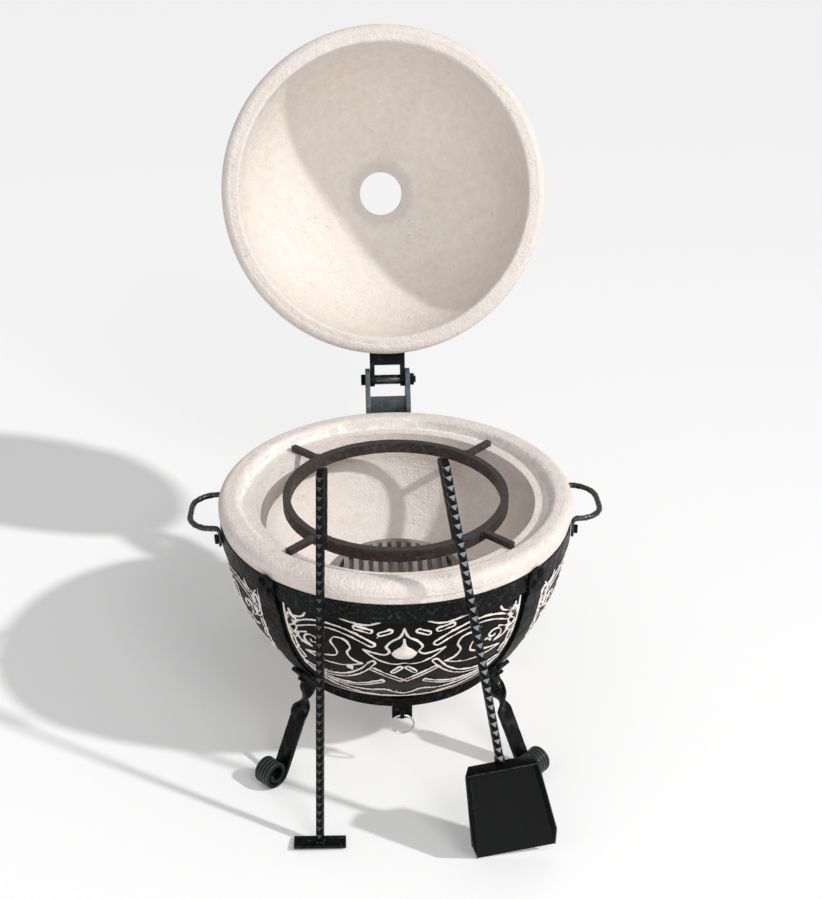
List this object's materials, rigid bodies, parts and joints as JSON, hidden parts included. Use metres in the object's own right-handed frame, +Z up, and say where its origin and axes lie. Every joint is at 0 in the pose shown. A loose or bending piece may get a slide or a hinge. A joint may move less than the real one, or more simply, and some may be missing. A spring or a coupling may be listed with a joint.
{
  "type": "kamado grill",
  "caption": "Ceramic kamado grill bound in forged iron: hinged lid thrown back, cauldron ring, charcoal grate, sliding air damper and scroll feet, with its rake and shovel.",
  "frame": {"origin": "on the floor, under the centre of the whole object's bounding box in plan", "axes": "+Z up, front of the grill towards -Y, lid hinge along X at the back"},
  "size_m": [0.6476, 1.0574, 1.0218],
  "materials": {
    "bowl_ceramic": "cream glaze with panels of black paint",
    "lid_ceramic": "cream glaze, bare pale clay inside",
    "forged_iron": "hammered black stove paint on forged iron",
    "hinge_steel": "thin grey-black stove paint on welded plate",
    "fastener_steel": "blackened steel",
    "ring_iron": "brown-grey mill scale, lightly rusted",
    "grate_iron": "dry grey-brown casting",
    "rail_steel": "plain folded sheet",
    "ring_steel": "bright wire"
  },
  "bodies": {
    "stand": {"bowl": "bowl_ceramic", "upper_hoop": "forged_iron", "base_hoop": "forged_iron", "strap_back_right": "forged_iron", "strap_back_left": "forged_iron", "strap_front_left": "forged_iron", "strap_front_right": "forged_iron", "leg_back_right": "forged_iron", "leg_back_left": "forged_iron", "leg_front_left": "forged_iron", "leg_front_right": "forged_iron", "hoop_rivets": "forged_iron", "leg_bolts": "fastener_steel", "handle_right": "forged_iron", "handle_left": "forged_iron", "handle_bolts": "fastener_steel", "hinge_bracket": "hinge_steel", "hinge_bolt": "fastener_steel", "hinge_nut": "fastener_steel", "damper_rail_right": "rail_steel", "damper_rail_left": "rail_steel", "rail_screws": "fastener_steel"},
    "lid_body": {"lid": "lid_ceramic", "lid_hoop": "forged_iron", "lid_strap_right": "forged_iron", "lid_strap_back": "forged_iron", "lid_strap_left": "forged_iron", "lid_strap_front": "forged_iron", "lid_bracket": "hinge_steel", "hinge_sleeve": "hinge_steel", "lid_handle": "forged_iron", "vent_collar": "forged_iron", "cover_pivot": "fastener_steel"},
    "vent_cover_body": {"vent_cover": "forged_iron"},
    "cauldron_ring_body": {"cauldron_ring": "ring_iron", "ring_arm_back_right": "ring_iron", "ring_arm_back_left": "ring_iron", "ring_arm_front_left": "ring_iron", "ring_arm_front_right": "ring_iron"},
    "grate_body": {"charcoal_grate": "grate_iron"},
    "damper_body": {"air_damper": "forged_iron"},
    "pull_ring_body": {"pull_ring": "ring_steel"},
    "rake_body": {"rake_rod": "forged_iron", "rake_blade": "forged_iron"},
    "shovel_body": {"shovel_rod": "forged_iron", "shovel_pan": "forged_iron"}
  },
  "joints": [
    {"name": "lid_hinge", "type": "hinge", "parent": "stand", "child": "lid_body", "pos_m": [0, 0.19736, 0.443], "axis": [1, 0, 0], "range_deg": [0, 107]},
    {"name": "vent_cover_pivot", "type": "hinge", "parent": "lid_body", "child": "vent_cover_body", "pos_m": [0, 0.45857, 0.64443], "axis": [0, 0.9563, -0.2924], "range_deg": [0, 180]},
    {"name": "ring_lift", "type": "slide", "parent": "stand", "child": "cauldron_ring_body", "axis": [0, 0, 1], "range_m": [0, 0.06]},
    {"name": "grate_lift", "type": "slide", "parent": "stand", "child": "grate_body", "axis": [0, 0, 1], "range_m": [0, 0.25]},
    {"name": "damper_slide", "type": "slide", "parent": "stand", "child": "damper_body", "axis": [0, -1, 0], "range_m": [0, 0.08]},
    {"name": "pull_ring_swing", "type": "hinge", "parent": "damper_body", "child": "pull_ring_body", "pos_m": [0, -0.31564, 0.1126], "axis": [-1, 0, 0], "range_deg": [-10, 90]},
    {"name": "rake_lift", "type": "slide", "parent": "stand", "child": "rake_body", "axis": [0, 0, 1], "range_m": [0, 0.4]},
    {"name": "shovel_lift", "type": "slide", "parent": "stand", "child": "shovel_body", "axis": [0, 0, 1], "range_m": [0, 0.4]}
  ]
}
